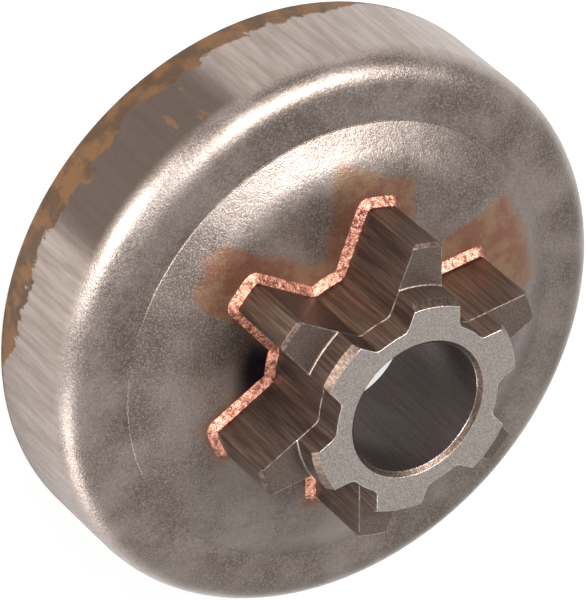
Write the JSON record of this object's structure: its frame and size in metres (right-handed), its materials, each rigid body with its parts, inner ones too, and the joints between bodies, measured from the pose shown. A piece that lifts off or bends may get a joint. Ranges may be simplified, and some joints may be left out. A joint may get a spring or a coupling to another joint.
{
  "type": "drive sprocket",
  "caption": "Deep-drawn steel clutch drum with a toothed star sprocket brazed on its raised centre and a plain through bore for a needle cage.",
  "frame": {"origin": "On the axis, in the plane of the drum's open rim", "axes": "Z runs along the axis from the open rim to the sprocket's nose. X runs through the middle of one tooth."},
  "size_m": [0.0576, 0.0576, 0.0258],
  "materials": {
    "drum_steel": "bead-blasted and heat-tinted brown grey, fine speckle",
    "star_steel": "oil-blackened brown flanks, turned grey end faces",
    "braze_copper": "granular copper braze"
  },
  "bodies": {
    "root": {"clutch_drum": "drum_steel", "star_sprocket": "star_steel", "braze_fillet": "braze_copper"}
  },
  "joints": []
}
